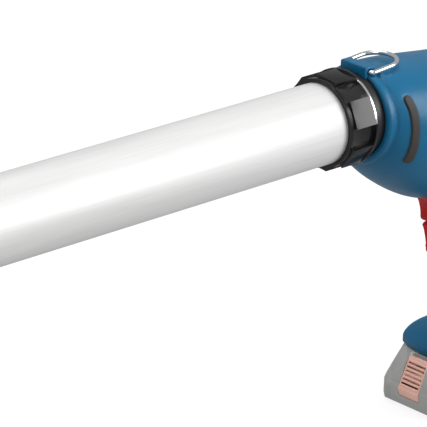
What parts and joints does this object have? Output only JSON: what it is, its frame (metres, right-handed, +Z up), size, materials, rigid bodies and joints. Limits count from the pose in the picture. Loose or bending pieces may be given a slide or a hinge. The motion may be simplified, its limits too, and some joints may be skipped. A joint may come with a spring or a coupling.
{
  "type": "caulking gun",
  "caption": "Battery caulking gun with a plain round barrel, nozzle, rack-driven piston rod, trigger handle and slide-on battery.",
  "frame": {"origin": "centre of the battery's flat base, on the tool's middle plane", "axes": "+X to the rear along the push rod, -X towards the nozzle, +Z up, -Y the user's left side"},
  "size_m": [1.032, 0.089, 0.2782],
  "materials": {
    "barrel_aluminium": "brushed, satin",
    "ring_black": "glossy moulded",
    "collar_black": "moulded",
    "steel_bright": "machined",
    "steel_gear": "oiled machined",
    "steel_zinc": "zinc plated",
    "chrome_wire": "polished",
    "housing_blue": "satin moulded",
    "trigger_red": "satin moulded",
    "rubber_dark": "fine textured",
    "rubber_grip": "textured",
    "seal_rubber": "smooth",
    "nozzle_white": "moulded polyethylene",
    "case_grey": "moulded",
    "latch_salmon": "moulded, ribbed",
    "cell_wrap": "shrink sleeved",
    "brass_contact": "stamped",
    "bronze_bush": "sintered",
    "gearcase_alloy": "die cast",
    "nylon_natural": "moulded",
    "copper_winding": "enamelled copper",
    "magnet_dark": "sintered ferrite",
    "board_green": "glass-fibre laminate",
    "switch_black": "moulded"
  },
  "bodies": {
    "tool_body": {"left_housing": "housing_blue", "right_housing": "housing_blue", "housing_screws": "steel_zinc", "hanger_lug": "housing_blue", "side_bumper_left": "rubber_dark", "side_bumper_right": "rubber_dark", "grip_sleeve": "rubber_grip", "neck_collar": "collar_black", "lock_washer": "steel_bright", "rod_guides": "nylon_natural", "rear_cap": "collar_black", "gearbox_case": "gearcase_alloy", "shaft_bearings": "bronze_bush", "ring_gear": "steel_gear", "motor_can": "steel_zinc", "motor_magnets": "magnet_dark", "motor_end_bell": "switch_black", "pivot_pins": "steel_gear", "switch_module": "switch_black", "trigger_spring": "steel_bright", "release_spring": "steel_bright", "control_board": "board_green", "battery_rail": "collar_black", "rail_contacts": "brass_contact"},
    "barrel": {"barrel_tube": "barrel_aluminium"},
    "barrel_ring": {"coupling_ring": "ring_black"},
    "cap": {"front_cap": "ring_black"},
    "nozzle_piece": {"nozzle": "nozzle_white"},
    "push_rod": {"piston_rod": "steel_zinc", "piston_plate": "steel_zinc", "piston_seal": "seal_rubber", "rod_fasteners": "steel_zinc", "rod_grip": "collar_black"},
    "hang_ring": {"hanging_ring": "chrome_wire"},
    "roller": {"guide_roller": "steel_gear"},
    "pinion_shaft": {"rack_pinion": "steel_gear", "drive_gear": "steel_gear", "rack_shaft": "steel_gear"},
    "counter_shaft": {"idler_pinion": "steel_gear", "cross_shaft": "steel_gear", "bevel_wheel": "steel_gear"},
    "carrier": {"bevel_pinion": "steel_gear", "planet_carrier": "steel_gear"},
    "planet_a": {"planet_gear_1": "steel_gear"},
    "planet_b": {"planet_gear_2": "steel_gear"},
    "planet_c": {"planet_gear_3": "steel_gear"},
    "rotor": {"motor_rotor": "steel_gear", "motor_windings": "copper_winding", "motor_shaft": "steel_bright", "cooling_fan": "nylon_natural"},
    "trigger_lever": {"trigger": "trigger_red"},
    "lock_lever": {"lock_off_lever": "trigger_red"},
    "retract_button": {"release_button": "trigger_red"},
    "dial": {"speed_dial": "switch_black"},
    "battery": {"battery_case_lower": "case_grey", "battery_case_upper": "case_grey", "battery_cells": "cell_wrap", "battery_terminals": "brass_contact", "latch_spring": "steel_bright"},
    "latch": {"battery_latch": "latch_salmon"}
  },
  "joints": [
    {"name": "rod_slide", "type": "slide", "parent": "tool_body", "child": "push_rod", "axis": [-1, 0, 0], "range_m": [0, 0.335]},
    {"name": "rack_pinion_spin", "type": "hinge", "parent": "tool_body", "child": "pinion_shaft", "pos_m": [-0.1, 0, 0.2275], "axis": [0, 1, 0], "continuous": true},
    {"name": "counter_shaft_spin", "type": "hinge", "parent": "tool_body", "child": "counter_shaft", "pos_m": [-0.1, 0, 0.205], "axis": [0, 1, 0], "continuous": true},
    {"name": "carrier_spin", "type": "hinge", "parent": "tool_body", "child": "carrier", "pos_m": [-0.081, 0, 0.205], "axis": [1, 0, 0], "continuous": true},
    {"name": "planet_1_spin", "type": "hinge", "parent": "carrier", "child": "planet_a", "pos_m": [-0.074, 0.0108, 0.205], "axis": [1, 0, 0], "continuous": true},
    {"name": "planet_2_spin", "type": "hinge", "parent": "carrier", "child": "planet_b", "pos_m": [-0.074, -0.0054, 0.21435], "axis": [1, 0, 0], "continuous": true},
    {"name": "planet_3_spin", "type": "hinge", "parent": "carrier", "child": "planet_c", "pos_m": [-0.074, -0.0054, 0.19565], "axis": [1, 0, 0], "continuous": true},
    {"name": "motor_spin", "type": "hinge", "parent": "tool_body", "child": "rotor", "pos_m": [-0.052, 0, 0.205], "axis": [1, 0, 0], "continuous": true},
    {"name": "guide_roller_spin", "type": "hinge", "parent": "tool_body", "child": "roller", "pos_m": [-0.1, 0, 0.2543], "axis": [0, 1, 0], "continuous": true},
    {"name": "coupling_ring_turn", "type": "hinge", "parent": "tool_body", "child": "barrel_ring", "pos_m": [-0.161, 0, 0.242], "axis": [1, 0, 0], "range_deg": [0, 60]},
    {"name": "barrel_slide", "type": "slide", "parent": "tool_body", "child": "barrel", "axis": [-1, 0, 0], "range_m": [0, 0.06]},
    {"name": "front_cap_slide", "type": "slide", "parent": "barrel", "child": "cap", "axis": [-1, 0, 0], "range_m": [0, 0.06]},
    {"name": "nozzle_turn", "type": "hinge", "parent": "cap", "child": "nozzle_piece", "pos_m": [-0.532, 0, 0.242], "axis": [1, 0, 0], "continuous": true},
    {"name": "trigger_pull", "type": "slide", "parent": "tool_body", "child": "trigger_lever", "axis": [1, 0, 0], "range_m": [0, 0.006], "stiffness_N_per_m": 900, "springref_m": -0.002, "deforming": ["trigger_spring"]},
    {"name": "lock_off_press", "type": "hinge", "parent": "tool_body", "child": "lock_lever", "pos_m": [-0.0454, 0, 0.12], "axis": [0, 1, 0], "range_deg": [0, 7], "stiffness_Nm_per_rad": 0.35, "springref_deg": -4.58},
    {"name": "retract_button_press", "type": "slide", "parent": "tool_body", "child": "retract_button", "axis": [0, 0, -1], "range_m": [0, 0.0025], "stiffness_N_per_m": 700, "springref_m": -0.002, "deforming": ["release_spring"]},
    {"name": "speed_dial_turn", "type": "hinge", "parent": "tool_body", "child": "dial", "pos_m": [0.039, 0, 0.0475], "axis": [0, 1, 0], "range_deg": [0, 240]},
    {"name": "hanging_ring_swing", "type": "hinge", "parent": "tool_body", "child": "hang_ring", "pos_m": [-0.1368, 0, 0.2741], "axis": [0, -1, 0], "range_deg": [0, 150]},
    {"name": "battery_slide", "type": "slide", "parent": "tool_body", "child": "battery", "axis": [-1, 0, 0], "range_m": [0, 0.09]},
    {"name": "battery_latch_press", "type": "slide", "parent": "battery", "child": "latch", "axis": [1, 0, 0], "range_m": [0, 0.002], "stiffness_N_per_m": 1500, "springref_m": -0.001, "deforming": ["latch_spring"]}
  ],
  "couplings": [
    {"joint": "rack_pinion_spin", "follows": "rod_slide", "rad_per_m": -111.11},
    {"joint": "counter_shaft_spin", "follows": "rod_slide", "rad_per_m": 222.22},
    {"joint": "carrier_spin", "follows": "rod_slide", "rad_per_m": 333.33},
    {"joint": "planet_1_spin", "follows": "rod_slide", "rad_per_m": -1000},
    {"joint": "planet_2_spin", "follows": "rod_slide", "rad_per_m": -1000},
    {"joint": "planet_3_spin", "follows": "rod_slide", "rad_per_m": -1000},
    {"joint": "motor_spin", "follows": "rod_slide", "rad_per_m": 1333.3},
    {"joint": "guide_roller_spin", "follows": "rod_slide", "rad_per_m": 200}
  ]
}
